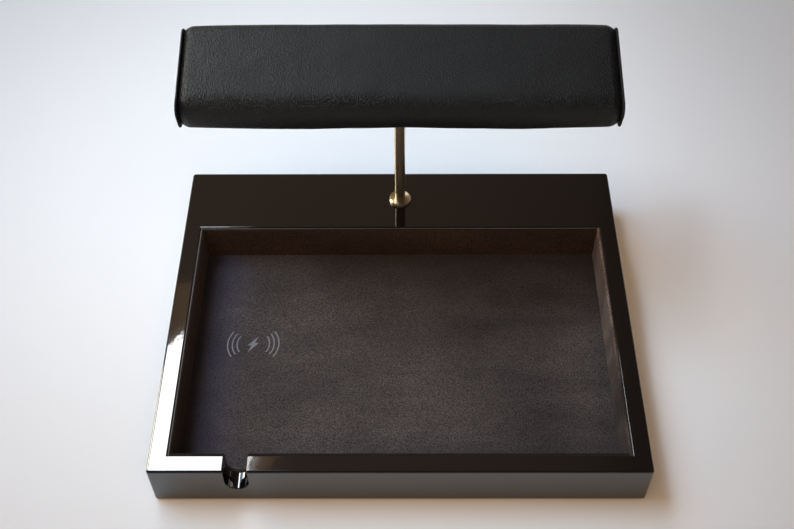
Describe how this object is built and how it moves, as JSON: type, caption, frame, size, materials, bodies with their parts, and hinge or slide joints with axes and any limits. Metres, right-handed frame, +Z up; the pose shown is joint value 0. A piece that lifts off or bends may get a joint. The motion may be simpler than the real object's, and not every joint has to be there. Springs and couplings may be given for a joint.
{
  "type": "charging station organizer",
  "caption": "Black lacquered watch stand and valet tray: suede-lined tray with a cable notch, wireless charging spot and a padded leather bar on a brass post.",
  "frame": {"origin": "middle of the base's footprint, on the felt face it stands on", "axes": "+X to the viewer's right along the bar, +Y from the cable-notch front towards the post, +Z up"},
  "size_m": [0.3, 0.2501, 0.1688],
  "materials": {
    "black_lacquer": "piano gloss",
    "raw_board": "unfinished fibreboard",
    "dowel_wood": "plain beech",
    "suede": "brushed nap",
    "felt": "felt",
    "screw_steel": "zinc plated",
    "satin_brass": "satin",
    "leather": "pebbled, semi matte",
    "foam": "open cell foam",
    "copper_wire": "enamelled copper",
    "ferrite": "matte",
    "circuit_green": "solder mask",
    "chip_black": "moulded",
    "capacitor_tan": "fired",
    "nylon": "moulded"
  },
  "bodies": {
    "base": {"base_screws": "screw_steel", "bottom_board": "raw_board", "cap_screw": "screw_steel", "cap_washer": "screw_steel", "charge_coil": "copper_wire", "charger_capacitors": "capacitor_tan", "charger_chips": "chip_black", "charger_circuit": "circuit_green", "circuit_screws": "screw_steel", "circuit_spacers": "nylon", "coil_return_lead": "copper_wire", "coil_shield": "ferrite", "corner_dowels": "dowel_wood", "felt_base": "felt", "front_rail": "black_lacquer", "ledge_board": "black_lacquer", "left_rail": "black_lacquer", "lining_back": "suede", "lining_floor": "suede", "lining_front": "suede", "lining_left": "suede", "lining_right": "suede", "post": "satin_brass", "post_collar": "satin_brass", "post_nut": "screw_steel", "post_washer": "screw_steel", "rear_rail": "black_lacquer", "right_rail": "black_lacquer", "socket_shell": "screw_steel", "socket_tongue": "chip_black", "tray_divider": "raw_board"},
    "bar": {"bar_bush": "satin_brass", "bar_core": "raw_board", "bar_foam": "foam", "bar_cover": "leather", "left_end_panel": "leather", "right_end_panel": "leather", "end_panel_pins": "dowel_wood"}
  },
  "joints": [
    {"name": "bar_swivel", "type": "hinge", "parent": "base", "child": "bar", "pos_m": [0, 0.095, 0.1445], "axis": [0, 0, 1], "continuous": true}
  ]
}
